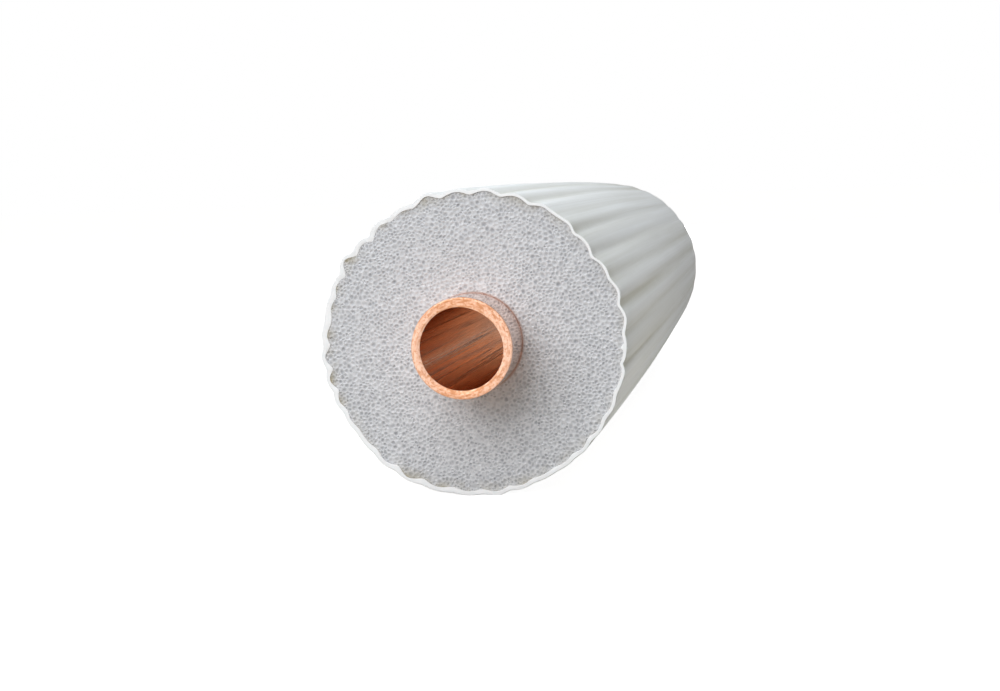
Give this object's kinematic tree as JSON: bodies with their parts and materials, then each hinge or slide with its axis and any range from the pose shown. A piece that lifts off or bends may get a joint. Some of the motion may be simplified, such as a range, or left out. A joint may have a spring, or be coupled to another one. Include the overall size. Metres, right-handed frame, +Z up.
{
  "type": "pre-insulated copper tube",
  "caption": "Straight cut length of copper tube in a lengthwise-ribbed closed-cell foam sleeve with a thin white film jacket, one end stripped back to bare tube for a joint.",
  "frame": {"origin": "on the floor under the tube's axis, at the middle of the length", "axes": "+Z up; +Y along the tube, away from the stripped end; +X to the right as seen from the stripped end"},
  "size_m": [0.0298, 0.168, 0.0297],
  "materials": {
    "copper": "bright drawn copper, sawn and deburred at the ends",
    "foam": "cut closed-cell foam",
    "film": "satin white film"
  },
  "bodies": {
    "root": {"copper_tube": "copper", "foam_sleeve": "foam", "film_jacket": "film"}
  },
  "joints": []
}
